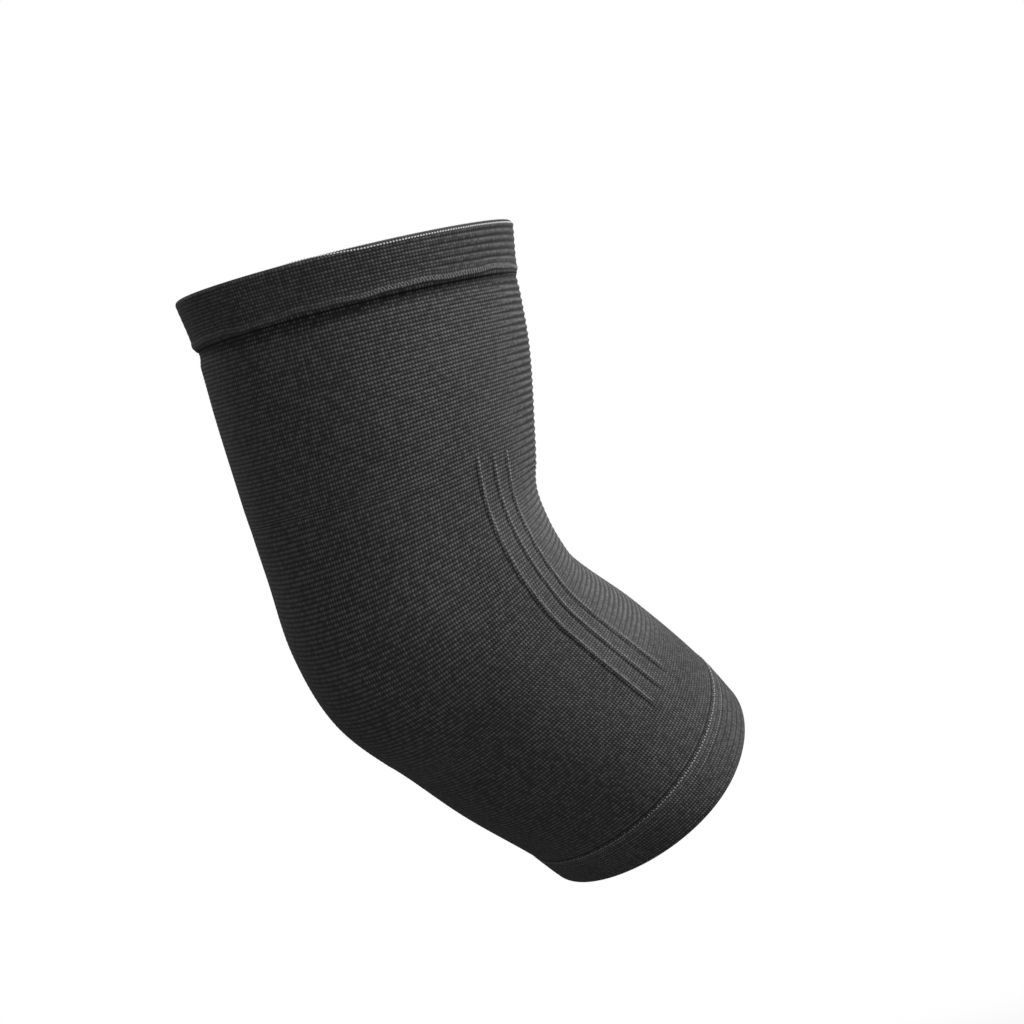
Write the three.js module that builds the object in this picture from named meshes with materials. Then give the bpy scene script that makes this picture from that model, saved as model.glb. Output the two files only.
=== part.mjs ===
// Knitted elbow brace: a bent elastic sleeve, open at both ends, with a folded cuff at each end.
// Millimetres. The origin is the corner where the axes of the two straight runs meet. +Z goes up the
// wide run, +X is the side of the crook, and the sleeve is the same on both sides of the plane Y = 0.

import * as THREE from 'three';

// Driving dimensions of the path down the middle of the sleeve
const upperReach = 107.8; // from the corner up to the upper rim
const lowerReach = 110.2; // from the corner down to the lower rim
const bendAngle = THREE.MathUtils.degToRad(40.5);
const bendRadius = 79;

// Widths from side to side
const upperWidth = 104;
const bendWidth = 92;
const lowerWidth = 82;

// Knit thickness
const bodyWall = 2;
const cuffWall = 3.2;

// The lower end isn't cut square: its two sides reach further down than its front and its back
const lowerWave = 3.5; // how much further
const waveRun = 45; // the stretch of the path over which it grows
const waveMiddle = 0.35; // the share of the wave that lies above the path's end

// Cuffs, each folded double over its rim and sewn down at a seam
const upperCuffHeight = 17.2;
const lowerCuffHeight = 16;
const cuffProud = 0.7; // how far the cuffs stand out past the body
const seamGap = 0.3; // between a cuff and the body
const grooveDepth = 0.7; // of the groove beside the upper seam
const grooveHeight = 4.5;

// Rib lines along each side: a groove with a ridge beside it, three times, with flat channels between
const ribCount = 3;
const ribSpacing = 6.5;
const ribWidth = 1.5;
const ribHeight = 0.45;
const ribGrooveDepth = 0.35;
const ribTop = 70; // from the upper rim down the path to where the lines start
const ribBottom = 182; // and to where they end
const ribFade = 5;
const ribShiftTop = 1.5; // from the side line towards the crook, at the lines' upper end
const ribShiftBottom = 7; // and at their lower end
const ribBow = 1.3; // how far the lines bow away from the crook between their ends

// Fineness of the mesh
const plainColumns = 14; // steps round the crook, and as many round the outer bend
const bodyRings = 33;
const grooveSteps = 3;
const foldSteps = 4;
const cuffInnerRings = [0.5, 0]; // on a cuff's inside, as shares of its height from the seam

// Knits: the body is a little lighter than its cuffs
const bodyKnit = { color: '#3a3b3d', roughness: 0.92, metalness: 0 };
const upperCuffKnit = { color: '#353638', roughness: 0.9, metalness: 0 };
const lowerCuffKnit = { color: '#38393b', roughness: 0.9, metalness: 0 };

// The path: a straight run, the bend and a second straight run
const tangentRun = bendRadius * Math.tan(bendAngle / 2);
const upperRun = upperReach - tangentRun;
const bendRun = bendRadius * bendAngle;
const lowerRun = lowerReach - tangentRun;
const pathLength = upperRun + bendRun + lowerRun;

// The sleeve's sections. at counts along the path: 0 to 1 is the upper straight run, 1 to 2 the bend and
// 2 to 3 the lower straight run. front is the half depth towards the crook, back the half depth towards
// the outer bend and side the half width, each a share of the width named in of.
const sections = [
  { at: 0.00, of: upperWidth, front: 0.567, back: 0.531, side: 0.515 },
  { at: 0.20, of: upperWidth, front: 0.540, back: 0.507, side: 0.499 },
  { at: 0.52, of: upperWidth, front: 0.518, back: 0.500, side: 0.486 },
  { at: 0.88, of: upperWidth, front: 0.449, back: 0.489, side: 0.462 },
  { at: 1.18, of: bendWidth, front: 0.450, back: 0.545, side: 0.500 },
  { at: 1.48, of: bendWidth, front: 0.431, back: 0.591, side: 0.498 },
  { at: 1.75, of: bendWidth, front: 0.420, back: 0.611, side: 0.492 },
  { at: 2.03, of: lowerWidth, front: 0.470, back: 0.637, side: 0.528 },
  { at: 2.40, of: lowerWidth, front: 0.537, back: 0.591, side: 0.503 },
  { at: 2.80, of: lowerWidth, front: 0.566, back: 0.508, side: 0.484 },
  { at: 3.00, of: lowerWidth, front: 0.530, back: 0.472, side: 0.510 },
].map(sizedSection);

function sizedSection(row) {
  return {
    along: alongPath(row.at),
    front: row.front * row.of,
    back: row.back * row.of,
    side: row.side * row.of,
  };
}

// A place given in runs, as a length along the path.
function alongPath(at) {
  const upper = Math.min(at, 1) * upperRun;
  const bend = THREE.MathUtils.clamp(at - 1, 0, 1) * bendRun;
  const lower = Math.max(at - 2, 0) * lowerRun;
  return upper + bend + lower;
}

// The point of the path at a length along it, with the directions towards the crook and down the path.
function pathFrame(along) {
  const turn = THREE.MathUtils.clamp((along - upperRun) / bendRadius, 0, bendAngle);
  const before = upperReach - Math.min(along, upperRun);
  const after = Math.max(along - upperRun - bendRun, 0);
  const centre = new THREE.Vector3(
    bendRadius * (1 - Math.cos(turn)) + after * Math.sin(turn),
    0,
    before - bendRadius * Math.sin(turn) - after * Math.cos(turn),
  );
  const front = new THREE.Vector3(Math.cos(turn), 0, Math.sin(turn));
  const down = new THREE.Vector3(Math.sin(turn), 0, -Math.cos(turn));
  return { centre, front, down };
}

// The value of a column at a length along the path: a cubic through the rows of the table.
function sectionValue(column, along) {
  const last = sections.length - 1;
  const next = sections.findIndex((row) => row.along > along);
  const high = next < 0 ? last : Math.max(next, 1);
  const from = sections[high - 1];
  const to = sections[high];
  const slope = (index) => {
    const before = sections[Math.max(index - 1, 0)];
    const behind = sections[Math.min(index + 1, last)];
    return (behind[column] - before[column]) / (behind.along - before.along);
  };
  const span = to.along - from.along;
  const t = THREE.MathUtils.clamp((along - from.along) / span, 0, 1);
  const rise = to[column] - from[column];
  const ease = t * t * (3 - 2 * t);
  const start = slope(high - 1) * span * t * (1 - t) * (1 - t);
  const end = slope(high) * span * t * t * (1 - t);
  return from[column] + rise * ease + start - end;
}

// The cross-section of one rib line, from a flat through its groove and its ridge to the next flat.
const ribProfile = [
  { across: -0.9, lift: 0 },
  { across: -0.1, lift: -ribGrooveDepth },
  { across: 0.6, lift: 0 },
  { across: 1.3, lift: ribHeight },
  { across: 2.0, lift: 0 },
];

// The columns round one ring, each an angle from the crook and the height of its relief there.
function columnsAt(along) {
  const half = sectionValue('side', along);
  const share = THREE.MathUtils.clamp((along - ribTop) / (ribBottom - ribTop), 0, 1);
  const shift = THREE.MathUtils.lerp(ribShiftTop, ribShiftBottom, share) - ribBow * Math.sin(Math.PI * share);
  const side = [];
  for (let line = 0; line < ribCount; line += 1) {
    const middle = shift + (line - (ribCount - 1) / 2) * ribSpacing;
    for (const { across, lift } of ribProfile) {
      side.push({ angle: Math.PI / 2 - (middle + across * ribWidth) / half, lift });
    }
  }
  side.sort((a, b) => a.angle - b.angle);
  const first = side[0].angle;
  const last = side[side.length - 1].angle;
  const mirrored = side.map(({ angle, lift }) => ({ angle: 2 * Math.PI - angle, lift })).reverse();
  const back = steps(last, 2 * Math.PI - last);
  const crook = steps(2 * Math.PI - first, 2 * Math.PI + first);
  return [...side, ...back, ...mirrored, ...crook];
}

// Even plain columns between two angles, without the two ends.
function steps(from, to) {
  const list = [];
  for (let step = 1; step < plainColumns; step += 1) {
    list.push({ angle: THREE.MathUtils.lerp(from, to, step / plainColumns), lift: 0 });
  }
  return list;
}

// How much of the rib lines' relief shows at a length along the path, from 0 to 1.
function ribShare(along) {
  const entering = THREE.MathUtils.smoothstep(along, ribTop, ribTop + ribFade);
  const leaving = THREE.MathUtils.smoothstep(along, ribBottom - ribFade, ribBottom);
  return entering * (1 - leaving);
}

// One ring of the sleeve: inset moves it in from the outer surface, relief raises the rib lines.
function ringPoints({ along, inset, relief }) {
  const { centre, front, down } = pathFrame(along);
  const frontDepth = sectionValue('front', along);
  const backDepth = sectionValue('back', along);
  const halfWidth = sectionValue('side', along);
  const wave = lowerWave * THREE.MathUtils.smoothstep(along, pathLength - waveRun, pathLength);
  return columnsAt(along).map(({ angle, lift }) => {
    const out = lift * relief - inset;
    const depth = Math.cos(angle) > 0 ? frontDepth : backDepth;
    const point = centre.clone().addScaledVector(front, (depth + out) * Math.cos(angle));
    point.y -= (halfWidth + out) * Math.sin(angle);
    return point.addScaledVector(down, wave * (Math.sin(angle) ** 2 - waveMiddle));
  });
}

// A closed tube wall: a loop of rings, down the outside and back up the inside.
function wallGeometry(loop) {
  const rings = loop.map(ringPoints);
  const columns = rings[0].length;
  const positions = rings.flat().flatMap((point) => point.toArray());
  const faces = [];
  for (let ring = 0; ring < rings.length; ring += 1) {
    const nextRing = (ring + 1) % rings.length;
    for (let column = 0; column < columns; column += 1) {
      const nextColumn = (column + 1) % columns;
      const a = ring * columns + column;
      const b = ring * columns + nextColumn;
      const c = nextRing * columns + nextColumn;
      const d = nextRing * columns + column;
      faces.push(a, b, c, a, c, d);
    }
  }
  const geometry = new THREE.BufferGeometry();
  geometry.setAttribute('position', new THREE.Float32BufferAttribute(positions, 3));
  geometry.setIndex(faces);
  geometry.computeVertexNormals();
  return geometry;
}

// The body runs from seam to seam. A rounded groove follows its upper seam.
function bodyLoop() {
  const top = upperCuffHeight + seamGap;
  const bottom = pathLength - lowerCuffHeight - seamGap;
  const rings = [];
  for (let step = 0; step < grooveSteps; step += 1) {
    const share = step / grooveSteps;
    const depth = grooveDepth * Math.cos((share * Math.PI) / 2) ** 2;
    rings.push({ along: top + share * grooveHeight, inset: depth, relief: 0 });
  }
  for (let ring = 0; ring <= bodyRings; ring += 1) {
    const along = THREE.MathUtils.lerp(top + grooveHeight, bottom, ring / bodyRings);
    rings.push({ along, inset: 0, relief: ribShare(along) });
  }
  const inner = rings.map(({ along }) => ({ along, inset: bodyWall, relief: 0 })).reverse();
  return [...rings, ...inner];
}

// How a cuff's outside swells between its seam and its fold.
const cuffProfile = [
  { height: 0.00, proud: 0.6 },
  { height: 0.12, proud: 1.0 },
  { height: 0.30, proud: 0.7 },
  { height: 0.60, proud: 0.9 },
];

// A cuff is a loop up its outside from the seam, round the fold and back down its inside.
function cuffLoop(seamAlong, rimAlong) {
  const towardsRim = Math.sign(rimAlong - seamAlong);
  const height = Math.abs(rimAlong - seamAlong);
  const foldRadius = cuffWall / 2;
  const foldAlong = rimAlong - towardsRim * foldRadius;
  const outside = cuffProfile.map((row) => ({
    along: seamAlong + towardsRim * row.height * height,
    inset: -row.proud * cuffProud,
    relief: 0,
  }));
  const fold = [];
  for (let step = 0; step <= foldSteps; step += 1) {
    const turn = (step / foldSteps) * Math.PI;
    fold.push({
      along: foldAlong + towardsRim * foldRadius * Math.sin(turn),
      inset: foldRadius * (1 - Math.cos(turn)) - cuffProud,
      relief: 0,
    });
  }
  const inside = cuffInnerRings.map((share) => ({
    along: seamAlong + towardsRim * share * height,
    inset: cuffWall - cuffProud,
    relief: 0,
  }));
  const loop = [...outside, ...fold, ...inside];
  return towardsRim > 0 ? loop : loop.reverse();
}

function piece(name, loop, knit) {
  const mesh = new THREE.Mesh(wallGeometry(loop), new THREE.MeshStandardMaterial(knit));
  mesh.name = name;
  return mesh;
}

const brace = new THREE.Group();
brace.add(piece('sleeve_body', bodyLoop(), bodyKnit));
brace.add(piece('upper_cuff', cuffLoop(upperCuffHeight, 0), upperCuffKnit));
brace.add(piece('lower_cuff', cuffLoop(pathLength - lowerCuffHeight, pathLength), lowerCuffKnit));

export default brace;
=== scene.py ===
import math

import bpy
import numpy as np
from mathutils import Matrix, Vector


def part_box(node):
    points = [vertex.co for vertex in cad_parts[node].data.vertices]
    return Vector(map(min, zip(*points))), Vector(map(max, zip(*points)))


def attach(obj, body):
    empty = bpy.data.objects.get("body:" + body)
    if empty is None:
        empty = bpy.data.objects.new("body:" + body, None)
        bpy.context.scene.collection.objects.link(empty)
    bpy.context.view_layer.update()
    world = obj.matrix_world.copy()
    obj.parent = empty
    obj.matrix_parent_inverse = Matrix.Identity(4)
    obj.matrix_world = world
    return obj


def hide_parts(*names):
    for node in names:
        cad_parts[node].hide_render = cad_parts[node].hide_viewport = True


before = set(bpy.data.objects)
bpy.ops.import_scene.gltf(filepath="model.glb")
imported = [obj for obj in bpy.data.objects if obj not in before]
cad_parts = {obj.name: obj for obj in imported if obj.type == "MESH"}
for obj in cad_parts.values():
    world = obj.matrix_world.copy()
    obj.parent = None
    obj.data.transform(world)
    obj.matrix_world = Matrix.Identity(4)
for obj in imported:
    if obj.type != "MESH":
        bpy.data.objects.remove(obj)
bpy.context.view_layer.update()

mm = 0.001
print("stage: frame loaded")


# The form of the sleeve, in millimetres. The path runs from the upper rim down to the lower rim.
sleeve = {
    "upperReach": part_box("upper_cuff")[1][2] / mm,  # from the corner of the path up to the upper rim
    "lowerReach": 110.2,
    "bendAngle": math.radians(40.5),
    "bendRadius": 79.0,
    "upperWidth": 104.0,
    "bendWidth": 92.0,
    "lowerWidth": 82.0,
    "lowerWave": 3.5,  # how much further the sides of the lower end reach than its front and back
    "waveRun": 45.0,
    "waveMiddle": 0.35,
    # Each row: a place, 0 to 1 on the upper straight run, 1 to 2 on the bend and 2 to 3 on the lower
    # run, then the width that it follows, and its front, back and side half sizes as shares of that.
    "sections": [
        (0.00, "upperWidth", 0.567, 0.531, 0.515),
        (0.20, "upperWidth", 0.540, 0.507, 0.499),
        (0.52, "upperWidth", 0.518, 0.500, 0.486),
        (0.88, "upperWidth", 0.449, 0.489, 0.462),
        (1.18, "bendWidth", 0.450, 0.545, 0.500),
        (1.48, "bendWidth", 0.431, 0.591, 0.498),
        (1.75, "bendWidth", 0.420, 0.611, 0.492),
        (2.03, "lowerWidth", 0.470, 0.637, 0.528),
        (2.40, "lowerWidth", 0.537, 0.591, 0.503),
        (2.80, "lowerWidth", 0.566, 0.508, 0.484),
        (3.00, "lowerWidth", 0.530, 0.472, 0.510),
    ],
}

tangentRun = sleeve["bendRadius"] * math.tan(sleeve["bendAngle"] / 2)
upperRun = sleeve["upperReach"] - tangentRun
bendRun = sleeve["bendRadius"] * sleeve["bendAngle"]
lowerRun = sleeve["lowerReach"] - tangentRun
pathLength = upperRun + bendRun + lowerRun


# Each row of the table in millimetres: its place along the path, then front, back and side.
def sizedSections():
    at = np.array([row[0] for row in sleeve["sections"]])
    width = np.array([sleeve[row[1]] for row in sleeve["sections"]])
    shares = np.array([row[2:] for row in sleeve["sections"]])
    upper = np.minimum(at, 1) * upperRun
    bend = np.clip(at - 1, 0, 1) * bendRun
    lower = np.maximum(at - 2, 0) * lowerRun
    return upper + bend + lower, shares * width[:, None]


# A cubic through the rows of the table, whose slope at a row is the one between its neighbours.
def sectionAt(along):
    places, sizes = sizedSections()
    last = len(places) - 1
    high = np.clip(np.searchsorted(places, along, side="right"), 1, last)
    low = high - 1
    before = np.maximum(np.arange(last + 1) - 1, 0)
    behind = np.minimum(np.arange(last + 1) + 1, last)
    slope = (sizes[behind] - sizes[before]) / (places[behind] - places[before])[:, None]
    span = (places[high] - places[low])[..., None]
    t = np.clip((along - places[low])[..., None] / span, 0, 1)
    rise = sizes[high] - sizes[low]
    eased = sizes[low] + rise * t * t * (3 - 2 * t)
    bent = slope[low] * span * t * (1 - t) ** 2 - slope[high] * span * t * t * (1 - t)
    return np.moveaxis(eased + bent, -1, 0)


def smoothStep(value, start, end):
    t = np.clip((value - start) / (end - start), 0, 1)
    return t * t * (3 - 2 * t)


# An angle's distance from the crook, whichever way round, from 0 to half a turn.
def fromCrook(angle):
    return np.pi - np.abs(np.pi - np.mod(angle, 2 * np.pi))


# How far round towards the outer bend an angle lies: 0 over the crook, 1 from the side line on.
def outerSide(angle):
    return smoothStep(fromCrook(angle), math.radians(35), math.radians(90))


# The sleeve's surface in metres: a point stands at its angle from the crook on a ring of two half
# ellipses, square to the path at its length along it, and out moves it away from the ring's middle.
def sleevePoint(along, angle, out):
    along, angle, out = np.broadcast_arrays(along, angle, out)
    front, back, side = sectionAt(along)
    turn = np.clip((along - upperRun) / sleeve["bendRadius"], 0, sleeve["bendAngle"])
    above = sleeve["upperReach"] - np.minimum(along, upperRun)
    after = np.maximum(along - upperRun - bendRun, 0)
    x = sleeve["bendRadius"] * (1 - np.cos(turn)) + after * np.sin(turn)
    z = above - sleeve["bendRadius"] * np.sin(turn) - after * np.cos(turn)
    depth = np.where(np.cos(angle) > 0, front, back)
    forward = (depth + out) * np.cos(angle)
    wave = sleeve["lowerWave"] * smoothStep(along, pathLength - sleeve["waveRun"], pathLength)
    down = wave * (np.sin(angle) ** 2 - sleeve["waveMiddle"])
    x = x + forward * np.cos(turn) + down * np.sin(turn)
    z = z + forward * np.sin(turn) - down * np.cos(turn)
    y = -(side + out) * np.sin(angle)
    return np.stack([x, y, z], -1) * mm


# A closed wall from a grid of points that runs round on itself both ways. Its UV map goes from 0 to 1
# round each row by the length walked, so the wales stay even, and rowPlace gives each row's other value.
def wallPiece(name, points, rowPlace, material, attributes):
    rows, columns = points.shape[:2]
    r, c = np.meshgrid(np.arange(rows), np.arange(columns), indexing="ij")
    r, c = r.ravel(), c.ravel()
    nextRow, nextColumn = (r + 1) % rows, (c + 1) % columns
    quads = [r * columns + c, r * columns + nextColumn, nextRow * columns + nextColumn, nextRow * columns + c]
    corners = np.stack(quads, 1).ravel()
    walked = np.cumsum(np.linalg.norm(np.roll(points, -1, 1) - points, axis=-1), 1)
    walked = np.concatenate([0 * walked[:, :1], walked / walked[:, -1:]], 1)
    walked = np.concatenate([walked, walked[-1:]])
    rowEnd = np.append(rowPlace, rowPlace[-1])
    across = np.stack([walked[r, c], walked[r, c + 1], walked[r + 1, c + 1], walked[r + 1, c]], 1)
    updown = np.stack([rowEnd[r], rowEnd[r], rowEnd[r + 1], rowEnd[r + 1]], 1)
    mesh = bpy.data.meshes.new(name)
    mesh.vertices.add(rows * columns)
    mesh.vertices.foreach_set("co", points.astype(np.float32).ravel())
    mesh.loops.add(len(corners))
    mesh.loops.foreach_set("vertex_index", corners.astype(np.int32))
    mesh.polygons.add(rows * columns)
    mesh.polygons.foreach_set("loop_start", np.arange(0, len(corners), 4, dtype=np.int32))
    mesh.update(calc_edges=True)
    mesh.polygons.foreach_set("use_smooth", np.ones(rows * columns, bool))
    uvMap = mesh.uv_layers.new(name="knit")
    uvMap.data.foreach_set("uv", np.stack([across, updown], -1).astype(np.float32).ravel())
    for key, values in attributes.items():
        attribute = mesh.attributes.new(key, "FLOAT", "POINT")
        attribute.data.foreach_set("value", values.astype(np.float32).ravel())
    mesh.materials.append(material)
    mesh.validate()
    piece = bpy.data.objects.new(name, mesh)
    bpy.context.scene.collection.objects.link(piece)
    return piece


# Adds one node: its properties are keywords, and inputs gives sockets a value or a link.
def addNode(tree, kind, inputs=None, **properties):
    node = tree.nodes.new(kind)
    for key, value in properties.items():
        setattr(node, key, value)
    for key, value in (inputs or {}).items():
        if isinstance(value, bpy.types.NodeSocket):
            tree.links.new(value, node.inputs[key])
        else:
            node.inputs[key].default_value = value
    return node


def linearColour(code):
    values = [int(code[i:i + 2], 16) / 255 for i in (1, 3, 5)]
    linear = [v / 12.92 if v <= 0.04045 else ((v + 0.055) / 1.055) ** 2.4 for v in values]
    return (*linear, 1.0)


# Nylon and elastane, circular knitted: matt dark loops in rows, with light painted into their colour: each
# crest painted lighter, a painted highlight, and a darker gap between the rows, partly the gap's own dark
# and partly painted shade, over a bump of the same loops, and a soft sheen where light grazes the fibres.
# Where the attribute ridged is 1, pairs of rows close up into one smooth ridge. tone adds painted light and
# shade: painted shade in grooves and inside, painted highlights on ridges and rolls, a lighter crook side.
def nylonKnit(name, look):
    material = bpy.data.materials.new(name)
    material.use_nodes = True
    tree = material.node_tree
    tree.nodes.clear()
    place = addNode(tree, "ShaderNodeUVMap", uv_map="knit")
    loops = {"Vector": place.outputs[0], "Scale": (look["wales"], look["courses"], 1)}
    counts = addNode(tree, "ShaderNodeMapping", loops)
    split = addNode(tree, "ShaderNodeSeparateXYZ", {0: counts.outputs[0]})
    cell = addNode(tree, "ShaderNodeVectorMath", {0: counts.outputs[0]}, operation="FLOOR")
    chance = addNode(tree, "ShaderNodeTexWhiteNoise", {"Vector": cell.outputs[0]}, noise_dimensions="2D")
    object3d = addNode(tree, "ShaderNodeTexCoord")
    broad = {"Vector": object3d.outputs["Object"], "Scale": 1 / (look["patchSize"] * mm), "Detail": 3.0}
    patches = addNode(tree, "ShaderNodeTexNoise", broad)
    ridged = addNode(tree, "ShaderNodeAttribute", attribute_name="ridged")
    tone = addNode(tree, "ShaderNodeAttribute", attribute_name="tone")
    value = {
        "round": split.outputs[0],
        "down": split.outputs[1],
        "chance": chance.outputs[0],
        "patches": patches.outputs[0],
        "ridged": ridged.outputs["Fac"],
        "tone": tone.outputs["Fac"],
    }
    # Each row: what it works out, the operation, and what that takes, earlier results by their names.
    sums = [
        ("wale", "FRACT", "round"),
        ("fromMiddle", "SUBTRACT", "wale", 0.5),
        ("legSide", "ABSOLUTE", "fromMiddle"),
        ("leaned", "MULTIPLY_ADD", "legSide", look["legLean"], "down"),  # the loop's two legs lean together
        ("courseTurn", "MULTIPLY", "leaned", 2 * math.pi),
        ("courseWave", "COSINE", "courseTurn"),
        ("courseRise", "MULTIPLY_ADD", "courseWave", -0.5, 0.5),
        ("courseCrest", "POWER", "courseRise", look["courseRound"]),
        ("courseHeight", "MULTIPLY_ADD", "courseCrest", look["courseDepth"], 1 - look["courseDepth"]),
        ("towardsGap", "MULTIPLY", "legSide", 2.0),
        ("waleEdge", "POWER", "towardsGap", look["gapSharpness"]),
        ("waleHeight", "MULTIPLY_ADD", "waleEdge", -look["gapDepth"], 1.0),
        ("loopHeight", "MULTIPLY", "courseHeight", "waleHeight"),
        ("pairTurn", "MULTIPLY", "down", math.pi),
        ("pairWave", "COSINE", "pairTurn"),
        ("pairRise", "MULTIPLY_ADD", "pairWave", 0.5, 0.5),
        ("paired", "MULTIPLY_ADD", "pairRise", look["pairShare"], 1 - look["pairShare"]),
        ("plainKnit", "MULTIPLY", "loopHeight", "paired"),
        ("ridgeHeight", "POWER", "pairRise", look["ridgeRound"]),
        ("ridgeGap", "MULTIPLY_ADD", "waleEdge", -look["ridgeGapDepth"], 1.0),
        ("ridgedKnit", "MULTIPLY", "ridgeHeight", "ridgeGap"),
        ("ridgeMore", "SUBTRACT", "ridgedKnit", "plainKnit"),
        ("knit", "MULTIPLY_ADD", "ridgeMore", "ridged", "plainKnit"),
        ("spread", "MULTIPLY_ADD", "chance", 2 * look["loopSpread"], 1 - look["loopSpread"]),
        ("lit", "MULTIPLY", "knit", "spread"),
        ("patchTone", "MULTIPLY_ADD", "patches", 2 * look["patchSpread"], -look["patchSpread"]),
        # lit and shade: the loops' painted highlights and painted shade, with random patches of tone
        ("shade", "MULTIPLY_ADD", "lit", look["crestPaintedLight"], "patchTone"),
        # the tone attribute adds its painted light and shade
        ("withPaintedLight", "MULTIPLY_ADD", "tone", look["paintedLightShare"], "shade"),
    ]
    for result, operation, *terms in sums:
        inputs = {index: value.get(term, term) for index, term in enumerate(terms)}
        value[result] = addNode(tree, "ShaderNodeMath", inputs, operation=operation).outputs[0]
    tones = {0: value["withPaintedLight"], "A": linearColour(look["gapShadeColour"]), "B": linearColour(look["yarnAndCrestLightColour"])}
    colour = addNode(tree, "ShaderNodeMix", tones, data_type="RGBA")
    depth = look["loopDepth"] * mm
    raised = {"Height": value["knit"], "Strength": look["bumpStrength"], "Distance": depth}
    bump = addNode(tree, "ShaderNodeBump", raised)
    surface = addNode(tree, "ShaderNodeBsdfPrincipled", {
        "Base Color": colour.outputs["Result"],
        "Normal": bump.outputs[0],
        "Roughness": 0.78,
        "IOR": 1.5,
        "Specular IOR Level": 0.2,
        "Sheen Weight": look["sheen"],
        "Sheen Roughness": 0.4,
        "Sheen Tint": linearColour("#cccccc"),
    })
    addNode(tree, "ShaderNodeOutputMaterial", {"Surface": surface.outputs[0]})
    return material


# Covered elastic thread: a fine fibrous wrap, a little glossy on the crown of each stitch.
def elasticThread(name, look):
    material = bpy.data.materials.new(name)
    material.use_nodes = True
    tree = material.node_tree
    tree.nodes.clear()
    object3d = addNode(tree, "ShaderNodeTexCoord")
    wrap = {"Vector": object3d.outputs["Object"], "Scale": 1 / (0.4 * mm), "Detail": 2.0}
    fibre = addNode(tree, "ShaderNodeTexNoise", wrap)
    tone = addNode(tree, "ShaderNodeMapRange", {0: fibre.outputs[0], 1: 0.3, 2: 0.7, 3: 0.6, 4: 1.0})
    tones = {0: tone.outputs[0], "A": linearColour("#3a3a3a"), "B": linearColour(look["colour"])}
    colour = addNode(tree, "ShaderNodeMix", tones, data_type="RGBA")
    bump = addNode(tree, "ShaderNodeBump", {"Height": fibre.outputs[0], "Strength": 0.4, "Distance": 0.1 * mm})
    surface = addNode(tree, "ShaderNodeBsdfPrincipled", {
        "Base Color": colour.outputs["Result"],
        "Normal": bump.outputs[0],
        "Roughness": look["roughness"],
        "Sheen Weight": 0.2,
    })
    addNode(tree, "ShaderNodeOutputMaterial", {"Surface": surface.outputs[0]})
    return material


# The body's knit and the rib lines in it, in millimetres.
body = {
    "wall": 2.0,
    "seamGap": 0.3,
    "shownGap": 0.06,  # the knit closes most of the gap that the solids keep at the seams
    "lowerCuffHeight": 16.0,
    "pairs": 77,  # ridges down the sleeve, each of two courses, so 2.4 mm apart
    "rowsPerCourse": 4,
    "evenness": 0.7,  # how far the courses spread evenly along the crook and round the outer bend
    "ridgeAtCrook": 0.17,
    "courseRelief": 0.03,  # of the single courses, away from the crook
    "ridgesEnd": (158.0, 180.0),  # the stretch of the path over which the ridges fade out
    "grooveDepth": 0.75,
    "grooveAtCrook": 0.3,
    "grooveFlat": 1.5,
    "grooveHeight": 5.5,
    "ribCount": 3,
    "ribSpacing": 6.5,
    "ribHeight": 0.16,
    "ribGroove": 0.4,
    "ribTop": 70.0,
    "ribBottom": 182.0,
    "ribFade": 9.0,
    "ribShiftTop": 1.5,
    "ribShiftBottom": 7.0,
    "ribBow": 1.3,  # how far the lines bow away from the crook between their ends
    "ribPaintedLight": 0.42,  # painted light: the knit painted lighter from the outermost line to the crook, the side the light falls on
    "ribSpan": (2.2, -1.2),  # the stretch across one line with close columns
    "ribColumns": 9,
    "flatColumns": 3,  # on the flat channel beside each line, and outside the outer lines
    "plainColumns": 20,  # in each quarter between
    "innerRows": 16,
}
body["top"] = sleeve["upperReach"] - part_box("sleeve_body")[1][2] / mm - body["seamGap"] + body["shownGap"]
body["bottom"] = pathLength - body["lowerCuffHeight"] - body["shownGap"]

bodyLook = {
    "wales": 300,
    "courses": 2 * body["pairs"],
    "legLean": 0.35,
    "courseRound": 0.8,
    "courseDepth": 0.85,
    "gapDepth": 0.82,
    "gapSharpness": 1.6,
    "pairShare": 0.06,
    "ridgeRound": 1.0,
    "ridgeGapDepth": 0.15,
    "loopSpread": 0.45,
    "crestPaintedLight": 0.75,  # painted light on an ordinary crest, which leaves room for places painted lighter still
    "patchSize": 35.0,
    "patchSpread": 0.1,
    # how far the tone attribute's painted light and shade moves the colour
    "paintedLightShare": 0.42,
    # gaps: their own dark and painted shade; yarn: its own colour and the painted crest highlight
    "gapShadeColour": "#161616",
    "yarnAndCrestLightColour": "#5b5b5b",
    "bumpStrength": 0.8,
    "loopDepth": 0.3,
    "sheen": 0.08,
}


# The middle of the rib lines, as a distance from the side line towards the crook.
def ribShift(along):
    share = np.clip((along - body["ribTop"]) / (body["ribBottom"] - body["ribTop"]), 0, 1)
    straight = body["ribShiftTop"] + (body["ribShiftBottom"] - body["ribShiftTop"]) * share
    return straight - body["ribBow"] * np.sin(np.pi * share)


# Where columns stand across the rib lines, from the crook's side: close on each line, wider on the flats.
def ribColumns():
    first, last = body["ribSpan"]
    spots = []
    for line in range(body["ribCount"]):
        middle = ((body["ribCount"] - 1) / 2 - line) * body["ribSpacing"]
        spots.append(middle + np.linspace(first, last, body["ribColumns"]))
        flat = np.linspace(last, first - body["ribSpacing"], body["flatColumns"] + 2)[1:-1]
        spots.append(middle + flat)
    spots = np.concatenate(spots)
    outside = spots[0] + np.arange(body["flatColumns"], 0, -1)
    return np.concatenate([outside, spots])


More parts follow.
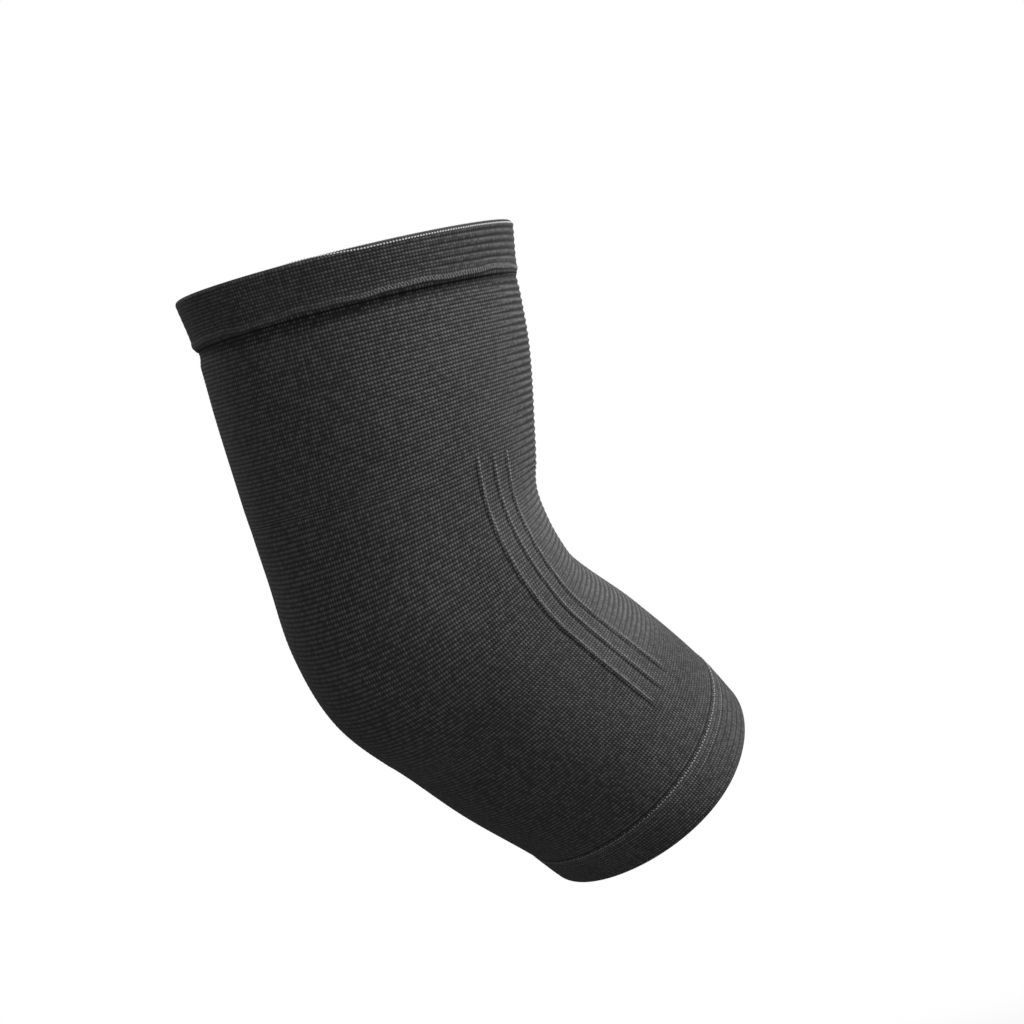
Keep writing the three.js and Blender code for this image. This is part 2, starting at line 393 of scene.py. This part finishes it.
# The angles of the columns on each row, from the crook right round: close over both sets of rib lines.
def bodyColumns(along):
    side = sectionAt(along)[2][:, None]
    across = ribColumns()
    near = math.pi / 2 - (ribShift(along)[:, None] + across) / side
    far = 2 * math.pi - near[:, ::-1]
    share = np.arange(body["plainColumns"]) / body["plainColumns"]
    inward = (np.arange(2 * body["plainColumns"]) + 1) / (2 * body["plainColumns"] + 1)
    first = near[:, :1] * share
    back = near[:, -1:] + (far[:, :1] - near[:, -1:]) * inward
    last = 2 * math.pi - first[:, :0:-1]
    return np.concatenate([first, near, back, far, last], 1)


# Where each course crosses a column: courses evenly apart along that column's own line round the bend,
# mixed with courses evenly apart along the path. Their spacing closes up at the crook all the same.
def courseAlong(share, angle):
    middle = (body["top"] + body["bottom"]) / 2
    front, back, _ = sectionAt(np.array(middle))
    reach = np.where(np.cos(angle) > 0, front, back) * np.cos(angle)
    upper, lower = upperRun - body["top"], body["bottom"] - upperRun - bendRun
    bend = bendRun * (1 - reach / sleeve["bendRadius"])
    walked = share * (upper + bend + lower)
    even = np.minimum(walked, upper) + np.maximum(walked - upper - bend, 0)
    even = body["top"] + even + np.clip((walked - upper) / bend, 0, 1) * bendRun
    plain = body["top"] + (body["bottom"] - body["top"]) * share
    return plain + body["evenness"] * (even - plain)


# The rib lines' relief: at each line's middle a bell-shaped groove, and next to it, on the crook's side,
# a bell-shaped ridge. Returned with its tone: painted shade in the groove and a painted highlight on the ridge.
def ribRelief(along, angle):
    side = sectionAt(along)[2]
    across = (math.pi / 2 - fromCrook(angle)) * side - ribShift(along)
    shown = smoothStep(along, body["ribTop"], body["ribTop"] + body["ribFade"])
    shown = shown * (1 - smoothStep(along, body["ribBottom"] - body["ribFade"], body["ribBottom"]))
    lift, tone = np.zeros_like(angle), np.zeros_like(angle)
    for line in range(body["ribCount"]):
        middle = (line - (body["ribCount"] - 1) / 2) * body["ribSpacing"]
        groove = np.exp(-(((across - middle + 0.15) / 0.5) ** 2))
        ridge = np.exp(-(((across - middle - 1.2) / 0.65) ** 2))
        lift += body["ribHeight"] * ridge - body["ribGroove"] * groove
        # painted highlight on each ridge, painted shade in each groove
        tone += 0.35 * ridge - 0.7 * groove
    # painted light: the knit painted lighter from the outermost line to the crook, where the light falls
    outermost = (1 - body["ribCount"]) / 2 * body["ribSpacing"]
    crookward = smoothStep(across, outermost, outermost + 2)
    spread = smoothStep(along, body["ribTop"], body["ribTop"] + 35)
    spread = spread * (1 - smoothStep(along, body["ribBottom"] - 30, body["ribBottom"] + 5))
    return lift * shown, tone * shown + body["ribPaintedLight"] * crookward * spread


def buildBody(material):
    share = np.linspace(0, 1, 2 * body["pairs"] * body["rowsPerCourse"] + 1)
    angle = bodyColumns(body["top"] + (body["bottom"] - body["top"]) * share)
    along = courseAlong(share[:, None], angle)
    crookSide = 1 - smoothStep(fromCrook(angle), math.radians(50), math.radians(80))
    crookSide = crookSide * (1 - smoothStep(along, *body["ridgesEnd"]))
    ridges = np.cos(2 * np.pi * body["pairs"] * share)[:, None] * crookSide
    courses = -np.cos(4 * np.pi * body["pairs"] * share)[:, None] * (1 - crookSide)
    ribLift, ribPaintedLight = ribRelief(along, angle)
    groove = 1 - smoothStep(along - body["top"], body["grooveFlat"], body["grooveHeight"])
    depth = body["grooveAtCrook"] + (body["grooveDepth"] - body["grooveAtCrook"]) * outerSide(angle)
    out = ribLift + body["ridgeAtCrook"] * ridges + body["courseRelief"] * courses - depth * groove
    # painted shade in the groove under the upper seam, added to the rib lines' painted light
    tone = ribPaintedLight - 0.7 * groove
    innerShare = np.linspace(1, 0, body["innerRows"])
    innerAngle = bodyColumns(body["top"] + (body["bottom"] - body["top"]) * innerShare)
    innerAlong = courseAlong(innerShare[:, None], innerAngle)
    inner = sleevePoint(innerAlong, innerAngle, -body["wall"])
    points = np.concatenate([sleevePoint(along, angle, out), inner])
    plain = 0 * innerAngle
    attributes = {
        # painted shade: the inside of the tube painted darker
        "tone": np.concatenate([tone, plain - 0.2]),
        "ridged": np.concatenate([crookSide + 0 * tone, plain]),
    }
    return wallPiece("bodyKnit", points, np.concatenate([share, innerShare]), material, attributes)


bodyKnit = buildBody(nylonKnit("bodyNylonKnit", bodyLook))
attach(bodyKnit, "root")
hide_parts("sleeve_body")
print("stage: body knitted")


# The cuffs: a band folded over its rim and sewn down at the seam, in millimetres.
cuffs = {
    "wall": 3.2,
    "proud": 0.7,
    "proudAtCrook": 0.35,
    "columns": 300,
    "foldRows": 16,
    "insideRows": 24,
    "rowsPerPair": 8,
    "ridgeAway": 0.25,  # how much of the ridges' height is left away from the crook
    "seamWave": 0.4,  # how far the upper seam wanders up and down
}

# Each profile row: the share of the way from the seam to the fold, and how proud it stands there.
upperBand = {
    "height": body["top"] - body["shownGap"],
    "pairs": 7,
    "ridge": 0.12,
    "ridged": 0.8,  # how far pairs of its courses close up into ridges at the crook
    "wander": cuffs["seamWave"],
    "profile": [(0, -0.2), (0.05, 0.4), (0.1, 1.05), (0.16, 1.1), (0.23, 0.75), (0.6, 0.9), (0.85, 1.0), (1, 1.0)],
}
lowerBand = {
    "height": body["lowerCuffHeight"],
    "pairs": 7,
    "ridge": 0.02,
    "ridged": 0.35,
    "wander": 0.0,
    "profile": [(0, 0.05), (0.08, 0.3), (0.2, 0.55), (0.45, 0.8), (0.7, 1.0), (0.85, 1.0), (1, 1.0)],
}


# How far a seam wanders from its line: two sines round the sleeve, of a long and a short wave.
def seamWander(angle):
    return 0.7 * np.sin(9 * angle + 0.6) + 0.3 * np.sin(23 * angle + 2.0)


# How proud a cuff stands of the body: less over the crook, where the sleeve's edge runs on smoothly.
def cuffProud(angle):
    return cuffs["proudAtCrook"] + (cuffs["proud"] - cuffs["proudAtCrook"]) * outerSide(angle)


# A cuff's wall: up the outside with its ridges, round the fold in a half circle, down the inside.
def buildCuff(name, seam, rim, band, material):
    towards = math.copysign(1, rim - seam)
    fold = cuffs["wall"] / 2
    height = abs(rim - seam) - fold
    share = np.linspace(0, 1, band["pairs"] * cuffs["rowsPerPair"])
    heights, swells = np.array(band["profile"]).T
    swell = np.interp(share, heights, swells)
    wave = np.cos(2 * np.pi * band["pairs"] * share) * smoothStep(share, 0.2, 0.28)
    turn = np.linspace(0, np.pi, cuffs["foldRows"] + 1)[1:]
    insideShare = np.linspace(1, 0, cuffs["insideRows"] + 1)[1:]
    foldAlong = rim - towards * fold * (1 - np.sin(turn))
    foldOut = -fold * (1 - np.cos(turn))
    insideOut = -cuffs["wall"] - 0.08 * (1 - np.cos(2 * np.pi * band["pairs"] * insideShare))
    proud = np.concatenate([swell, 1 + 0 * turn, 1 + 0 * insideShare])
    along = np.concatenate([seam + towards * share * height, foldAlong, seam + towards * insideShare * height])
    out = np.concatenate([0 * share, foldOut, insideOut])
    raised = np.concatenate([band["ridge"] * wave, 0 * turn, 0 * insideShare])
    foldPlace = 1 + turn / np.pi * 0.3
    place = np.concatenate([share, foldPlace, foldPlace[-1] + 1 - insideShare])
    roll = smoothStep(share, 0.05, 0.09) * (1 - smoothStep(share, 0.17, 0.22))
    wander = smoothStep(share, 0, 0.06) * (1 - smoothStep(share, 0.2, 0.4)) * band["wander"]
    # painted highlight on the raised roll and painted shade at the seam, where the cuff meets the body
    tone = 0.35 * roll - 0.8 * (1 - smoothStep(share, 0, 0.06))
    # painted shade: the inside of the cuff painted darker
    tone = np.concatenate([tone, 0 * turn, 0 * insideShare - 0.2])
    wander = np.concatenate([wander, 0 * turn, 0 * insideShare])
    angle = np.linspace(0, 2 * np.pi, cuffs["columns"], endpoint=False)
    crookSide = 1 - smoothStep(fromCrook(angle), math.radians(55), math.radians(110))
    plain = np.concatenate([smoothStep(share, 0.18, 0.3), 1 + 0 * turn, 0 * insideShare])
    grid = [along, out, raised, proud, place, tone, wander, plain]
    if towards < 0:
        grid = [row[::-1] for row in grid]
    along, out, raised, proud, place, tone, wander, plain = grid
    along = along[:, None] + wander[:, None] * seamWander(angle)
    shownRidge = cuffs["ridgeAway"] + (1 - cuffs["ridgeAway"]) * crookSide
    out = out[:, None] + proud[:, None] * cuffProud(angle) + raised[:, None] * shownRidge
    points = sleevePoint(along, angle, out)
    attributes = {"tone": np.repeat(tone[:, None], len(angle), 1), "ridged": band["ridged"] * plain[:, None] * crookSide}
    return wallPiece(name, points, place, material, attributes)


upperLook = dict(bodyLook, courses=2 * upperBand["pairs"], yarnAndCrestLightColour="#575757")
lowerLook = dict(bodyLook, courses=2 * lowerBand["pairs"], yarnAndCrestLightColour="#5a5a5a")
upperKnit = nylonKnit("upperCuffNylonKnit", upperLook)
upperCuff = buildCuff("upperCuffKnit", upperBand["height"], 0.0, upperBand, upperKnit)
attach(upperCuff, "root")
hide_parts("upper_cuff")

lowerKnit = nylonKnit("lowerCuffNylonKnit", lowerLook)
lowerSeamAt = pathLength - lowerBand["height"]
lowerCuff = buildCuff("lowerCuffKnit", lowerSeamAt, pathLength, lowerBand, lowerKnit)
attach(lowerCuff, "root")
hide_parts("lower_cuff")
print("stage: cuffs folded")


# A row of beads, joined: each bead is an ellipsoid, its long way turned by slant from the direction
# round the sleeve and its size times scale, seated on the surface at its place along the path, its angle
# and its height.
def beadRow(name, along, angle, out, look, slant, scale=1.0):
    along, angle, out, slant, scale = np.broadcast_arrays(along, angle, out, slant, scale)
    step = 0.002
    centre = sleevePoint(along, angle, out)
    around = sleevePoint(along, angle + step, out) - sleevePoint(along, angle - step, out)
    downward = sleevePoint(along + step, angle, out) - sleevePoint(along - step, angle, out)
    around /= np.linalg.norm(around, axis=-1, keepdims=True)
    downward -= (downward * around).sum(-1, keepdims=True) * around
    downward /= np.linalg.norm(downward, axis=-1, keepdims=True)
    outward = np.cross(downward, around)
    longWay = np.cos(slant)[:, None] * around + np.sin(slant)[:, None] * downward
    wideWay = np.cos(slant)[:, None] * downward - np.sin(slant)[:, None] * around
    rings, sides = 4, 6
    polar = np.linspace(0, np.pi, rings + 2)[1:-1, None]
    turn = np.linspace(0, 2 * np.pi, sides, endpoint=False)[None, :]
    unit = [np.cos(polar) + 0 * turn, np.sin(polar) * np.cos(turn), np.sin(polar) * np.sin(turn)]
    unit = np.concatenate([[[1.0, 0, 0]], np.stack(unit, -1).reshape(-1, 3), [[-1.0, 0, 0]]])
    size = np.array([look["long"], look["wide"], look["high"]]) * mm
    axes = np.stack([longWay, wideWay, outward], 1)
    points = centre[:, None, :] + np.einsum("vk,bkd->bvd", unit * size, axes) * scale[:, None, None]
    ring, side = np.meshgrid(np.arange(rings - 1), np.arange(sides), indexing="ij")
    ring, side = ring.ravel() * sides + 1, side.ravel()
    beside = (side + 1) % sides
    edge = np.arange(sides)
    last = 1 + rings * sides
    triangles = np.concatenate([
        np.stack([ring + side, ring + beside, ring + sides + beside], 1),
        np.stack([ring + side, ring + sides + beside, ring + sides + side], 1),
        np.stack([0 * edge, (edge + 1) % sides + 1, edge + 1], 1),
        np.stack([last + 0 * edge, last - sides + edge, last - sides + (edge + 1) % sides], 1),
    ])
    offset = np.arange(len(centre))[:, None, None] * len(unit)
    faces = (triangles[None] + offset).reshape(-1, 3)
    mesh = bpy.data.meshes.new(name)
    mesh.from_pydata(points.reshape(-1, 3).tolist(), [], faces.tolist())
    mesh.polygons.foreach_set("use_smooth", np.ones(len(faces), bool))
    mesh.materials.append(elasticThread(name + "Thread", look))
    mesh.update()
    piece = bpy.data.objects.new(name, mesh)
    bpy.context.scene.collection.objects.link(piece)
    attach(piece, "root")
    return piece


def beadAngles(count):
    return np.linspace(0, 2 * np.pi, count, endpoint=False)


# The rib lines' ridges are single loops, one on each course.
ribLoops = {
    "count": 88, "long": 0.5, "wide": 0.44, "high": 0.22,
    "colour": "#646464", "roughness": 0.75, "slot": "body_knit",
}
down = np.linspace(body["ribTop"] + 3, body["ribBottom"] - 5, ribLoops["count"])
lines = (np.arange(body["ribCount"]) - (body["ribCount"] - 1) / 2) * body["ribSpacing"] + 1.2
down, lines = [grid.ravel() for grid in np.meshgrid(down, lines)]
turned = math.pi / 2 - (ribShift(down) + lines) / sectionAt(down)[2]
bothSides = np.concatenate([turned, -turned])
uneven = np.random.default_rng(7).uniform(0.55, 1.1, bothSides.size)
beadRow("ribLoops", np.tile(down, 2), bothSides, body["ribHeight"] - 0.02, ribLoops, 0.6, uneven)

# The upper seam: short overlock stitches across the roll, following it as it wanders.
upperSeam = {
    "count": 300, "long": 0.75, "wide": 0.25, "high": 0.16,
    "colour": "#5c5c5c", "roughness": 0.7, "slot": "upper_cuff_knit",
}
angles = beadAngles(upperSeam["count"])
rollAt = upperBand["height"] - 0.125 * (upperBand["height"] - cuffs["wall"] / 2)
rollAt = rollAt + cuffs["seamWave"] * seamWander(angles)
tilt = math.pi / 2 + 0.3 * np.sin(2.4 * np.arange(upperSeam["count"]))
sunk = smoothStep(fromCrook(angles), math.radians(105), math.radians(150))
seamOut = 1.08 * cuffProud(angles) - 0.1 * sunk
beadRow("upperSeamStitches", rollAt, angles, seamOut, upperSeam, tilt, 1 - 0.5 * sunk)

# The lower seam: a row of pale dots, sunk deeper round the outer bend, and a fainter row nearer the rim.
lowerSeam = {
    "count": 256, "long": 0.36, "wide": 0.32, "high": 0.24,
    "colour": "#8a8a8a", "roughness": 0.6, "slot": "lower_cuff_knit",
}
angles = beadAngles(lowerSeam["count"])
zigzag = np.where(np.arange(lowerSeam["count"]) % 2 == 0, 1.0, -1.0)
sunk = smoothStep(fromCrook(angles), math.radians(90), math.radians(145))
seamAt = lowerSeamAt + 1.2 + 0.12 * zigzag
seamOut = 0.34 * cuffProud(angles) - 0.08 * sunk
beadRow("lowerSeamStitches", seamAt, angles, seamOut, lowerSeam, 0.4 * zigzag, 1 - 0.35 * sunk)

catchStitches = {
    "count": 256, "long": 0.36, "wide": 0.16, "high": 0.14,
    "colour": "#787878", "roughness": 0.6, "slot": "lower_cuff_knit",
}
angles = beadAngles(catchStitches["count"])
catchOut = 0.66 * cuffProud(angles)
sunk = smoothStep(fromCrook(angles), math.radians(80), math.radians(120))
beadRow("lowerCatchStitches", lowerSeamAt + 4.3, angles, catchOut, catchStitches, 0.0, 1 - 0.4 * sunk)

# The pale elastic yarn on the fold is partly real thread and partly a painted glint: it shows where light
# falls, on the outer half of the fold over the crook and the near side, and slips inside the fold further
# round. Its main row of stitches has a thinner one above.
rimGlintYarn = {
    "count": 325, "long": 0.4, "wide": 0.33, "high": 0.26,
    "colour": "#b5b5b5", "roughness": 0.5, "slot": "upper_cuff_knit",
    "shownFrom": math.radians(35), "shownHalf": math.radians(82), "slips": math.radians(42),
}
thinGlintYarn = dict(rimGlintYarn, long=0.34, wide=0.18, high=0.18, colour="#a4a4a4")
angles = beadAngles(rimGlintYarn["count"])
away = np.abs(np.mod(angles - rimGlintYarn["shownFrom"] + np.pi, 2 * np.pi) - np.pi)
slipped = smoothStep(away, rimGlintYarn["shownHalf"], rimGlintYarn["shownHalf"] + rimGlintYarn["slips"])
for name, look, foldTurn in (("rimGlintYarnStitches", rimGlintYarn, 0.07), ("rimThinGlintYarnStitches", thinGlintYarn, 0.40)):
    turn = np.pi * (foldTurn + (0.75 - foldTurn) * slipped)
    radius = cuffs["wall"] / 2
    yarnOut = cuffProud(angles) - radius * (1 - np.cos(turn))
    beadRow(name, radius * (1 - np.sin(turn)), angles, yarnOut, look, 0.3)
print("stage: stitches sewn")


# The studio: a pale floor well below the sleeve, soft light from the right, a long lens.
studio = {
    "floorDrop": 0.45,
    "floorRadius": 2.4,
    "azimuth": -39.0,
    "elevation": 0.3,
    "roll": -14.1,
    "distance": 1.5,
    "lens": 163.5,
    "aimRight": 29.0 * mm,
    "aimUp": 23.9 * mm,
    "lights": [
        # name, place round the sleeve in degrees from the camera, height, distance, size, watts
        ("keyLight", 75.0, 1.4, 1.3, 0.9, 55.0),
        ("sideLight", 90.0, 0.7, 1.3, 0.9, 1.5),
        ("edgeLight", 125.0, 0.5, 1.3, 0.9, 4.3),
        ("topLight", 0.0, 1.3, 1.3, 0.9, 3.0),
        ("frontLight", 10.0, 0.1, 1.3, 0.9, 5.3),
        ("backLight", -150.0, 0.8, 1.3, 0.9, 5.0),
    ],
    "ambient": 0.18,
}


def buildFloor():
    # A disc: each point stands at its turn and its share of the radius.
    rings, sides = 24, 96
    share, turn = np.meshgrid(np.linspace(0.02, 1, rings), np.linspace(0, 2 * np.pi, sides, endpoint=False), indexing="ij")
    radius = share * studio["floorRadius"]
    points = np.stack([radius * np.cos(turn), radius * np.sin(turn), 0 * radius - studio["floorDrop"]], -1).reshape(-1, 3)
    ring, side = np.meshgrid(np.arange(rings - 1), np.arange(sides), indexing="ij")
    ring, side = ring.ravel(), side.ravel()
    beside = (side + 1) % sides
    quads = np.stack([ring * sides + side, (ring + 1) * sides + side, (ring + 1) * sides + beside, ring * sides + beside], 1)
    mesh = bpy.data.meshes.new("paleFloor")
    mesh.from_pydata(points.tolist(), [], quads.tolist() + [list(range(sides))])
    material = bpy.data.materials.new("paleFloorPaint")
    material.use_nodes = True
    tree = material.node_tree
    tree.nodes.clear()
    object3d = addNode(tree, "ShaderNodeTexCoord")
    flat = addNode(tree, "ShaderNodeVectorMath", {0: object3d.outputs["Object"], 1: (1, 1, 0)}, operation="MULTIPLY")
    far = addNode(tree, "ShaderNodeVectorMath", {0: flat.outputs[0]}, operation="LENGTH")
    fade = addNode(tree, "ShaderNodeMapRange", {0: far.outputs["Value"], 1: 0.9, 2: studio["floorRadius"], 3: 0.0, 4: 1.0}, interpolation_type="SMOOTHSTEP")
    paint = addNode(tree, "ShaderNodeBsdfDiffuse", {"Color": linearColour("#f2f2f1")})
    clear = addNode(tree, "ShaderNodeBsdfTransparent")
    # Only the camera sees the floor: it throws no light back up under the sleeve.
    path = addNode(tree, "ShaderNodeLightPath")
    unseen = addNode(tree, "ShaderNodeMath", {0: 1.0, 1: path.outputs["Is Camera Ray"]}, operation="SUBTRACT")
    gone = addNode(tree, "ShaderNodeMath", {0: fade.outputs[0], 1: unseen.outputs[0]}, operation="MAXIMUM")
    mixed = addNode(tree, "ShaderNodeMixShader", {0: gone.outputs[0], 1: paint.outputs[0], 2: clear.outputs[0]})
    addNode(tree, "ShaderNodeOutputMaterial", {"Surface": mixed.outputs[0]})
    mesh.materials.append(material)
    floor = bpy.data.objects.new("paleFloor", mesh)
    bpy.context.scene.collection.objects.link(floor)


# A unit vector from the sleeve towards a place round it, counted from the camera's direction.
def directionAt(azimuth, elevation):
    a, e = math.radians(azimuth), math.radians(elevation)
    return Vector((math.sin(a) * math.cos(e), -math.cos(a) * math.cos(e), math.sin(e)))


def buildLights():
    for name, turn, height, distance, size, watts in studio["lights"]:
        light = bpy.data.lights.new(name, "AREA")
        light.shape, light.size, light.energy = "DISK", size, watts
        lamp = bpy.data.objects.new(name, light)
        lamp.location = directionAt(studio["azimuth"] + turn, 0) * distance + Vector((0, 0, height))
        lamp.rotation_euler = (-lamp.location).to_track_quat("-Z", "Y").to_euler()
        bpy.context.scene.collection.objects.link(lamp)


def buildWorld():
    world = bpy.data.worlds.new("paleStudio")
    world.use_nodes = True
    tree = world.node_tree
    tree.nodes.clear()
    path = addNode(tree, "ShaderNodeLightPath")
    strength = addNode(tree, "ShaderNodeMapRange", {0: path.outputs["Is Camera Ray"], 3: studio["ambient"], 4: 1.0})
    sky = addNode(tree, "ShaderNodeBackground", {"Color": (1, 1, 1, 1), "Strength": strength.outputs[0]})
    addNode(tree, "ShaderNodeOutputWorld", {"Surface": sky.outputs[0]})
    bpy.context.scene.world = world


# The camera stands at the photograph's angle and turns about its own axis by the roll.
def buildCamera():
    towards = directionAt(studio["azimuth"], studio["elevation"])
    a, roll = math.radians(studio["azimuth"]), math.radians(studio["roll"])
    level = Vector((math.cos(a), math.sin(a), 0))
    upright = towards.cross(level)
    right = level * math.cos(roll) + upright * math.sin(roll)
    up = upright * math.cos(roll) - level * math.sin(roll)
    place = towards * studio["distance"]
    target = right * studio["aimRight"] + up * studio["aimUp"]
    back = (place - target).normalized()
    right = up.cross(back).normalized()
    up = back.cross(right)
    camera = bpy.data.cameras.new("photoCamera")
    camera.lens, camera.sensor_width = studio["lens"], 36.0
    camera.clip_start, camera.clip_end = 0.01, 50.0
    holder = bpy.data.objects.new("photoCamera", camera)
    turned = Matrix((right, up, back)).transposed()
    holder.matrix_world = Matrix.Translation(place) @ turned.to_4x4()
    bpy.context.scene.collection.objects.link(holder)
    bpy.context.scene.camera = holder


buildFloor()
buildLights()
buildWorld()
buildCamera()
bpy.context.scene.view_settings.view_transform = "Standard"
print("stage: studio set")
